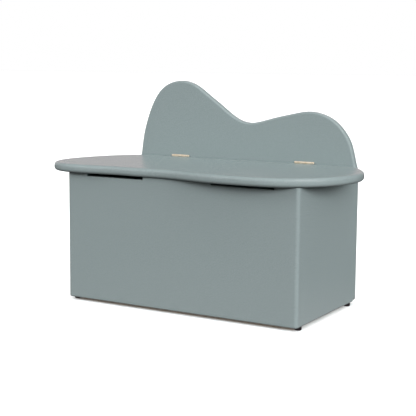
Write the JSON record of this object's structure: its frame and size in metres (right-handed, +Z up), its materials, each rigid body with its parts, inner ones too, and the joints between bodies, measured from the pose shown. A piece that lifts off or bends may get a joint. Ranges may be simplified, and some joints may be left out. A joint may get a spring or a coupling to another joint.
{
  "type": "storage bench",
  "caption": "Child's storage bench: open board box, bean-shaped overhanging lid that is the seat, and a wave-shaped back board with butt hinges.",
  "frame": {"origin": "floor level, under the middle of the whole bench (bounding box centre in plan)", "axes": "+X to the right along the long side, +Y to the back board, +Z up; the front panel faces -Y"},
  "size_m": [0.8416, 0.4052, 0.5814],
  "materials": {
    "back_board": "satin lacquer on fibreboard",
    "bottom_panel": "satin lacquer on fibreboard",
    "bottom_screws": "zinc plated",
    "cam_bolts": "zinc plated",
    "cam_locks": "die cast",
    "fixed_leaf_screws": "polished",
    "foot_nails": "drawn",
    "front_panel": "satin lacquer on fibreboard",
    "front_rail": "planed pine",
    "glide_foot_front_left": "moulded",
    "glide_foot_front_right": "moulded",
    "glide_foot_rear_left": "moulded",
    "glide_foot_rear_right": "moulded",
    "left_hinge_fixed_leaf": "polished",
    "left_hinge_lid_leaf": "polished",
    "left_hinge_pin": "brass plated",
    "left_rail": "planed pine",
    "left_side_panel": "satin lacquer on fibreboard",
    "lid": "satin lacquer on fibreboard",
    "lid_leaf_screws": "polished",
    "panel_dowels": "fluted beech",
    "rail_screws": "zinc plated",
    "rear_rail": "planed pine",
    "right_hinge_fixed_leaf": "polished",
    "right_hinge_lid_leaf": "polished",
    "right_hinge_pin": "brass plated",
    "right_rail": "planed pine",
    "right_side_panel": "satin lacquer on fibreboard",
    "rim_bumpers": "felt"
  },
  "bodies": {
    "carcass": {"front_panel": "front_panel", "back_board": "back_board", "bottom_panel": "bottom_panel", "bottom_screws": "bottom_screws", "cam_bolts": "cam_bolts", "cam_locks": "cam_locks", "fixed_leaf_screws": "fixed_leaf_screws", "foot_nails": "foot_nails", "front_rail": "front_rail", "glide_foot_front_left": "glide_foot_front_left", "glide_foot_front_right": "glide_foot_front_right", "glide_foot_rear_left": "glide_foot_rear_left", "glide_foot_rear_right": "glide_foot_rear_right", "left_hinge_fixed_leaf": "left_hinge_fixed_leaf", "left_hinge_pin": "left_hinge_pin", "left_rail": "left_rail", "left_side_panel": "left_side_panel", "panel_dowels": "panel_dowels", "rail_screws": "rail_screws", "rear_rail": "rear_rail", "right_hinge_fixed_leaf": "right_hinge_fixed_leaf", "right_hinge_pin": "right_hinge_pin", "right_rail": "right_rail", "right_side_panel": "right_side_panel", "rim_bumpers": "rim_bumpers"},
    "lid": {"lid": "lid", "left_hinge_lid_leaf": "left_hinge_lid_leaf", "right_hinge_lid_leaf": "right_hinge_lid_leaf", "lid_leaf_screws": "lid_leaf_screws"}
  },
  "joints": [
    {"name": "lid_hinge", "type": "hinge", "parent": "carcass", "child": "lid", "pos_m": [0, 0.18115, 0.3699], "axis": [-1, 0, 0], "range_deg": [0, 90]}
  ]
}
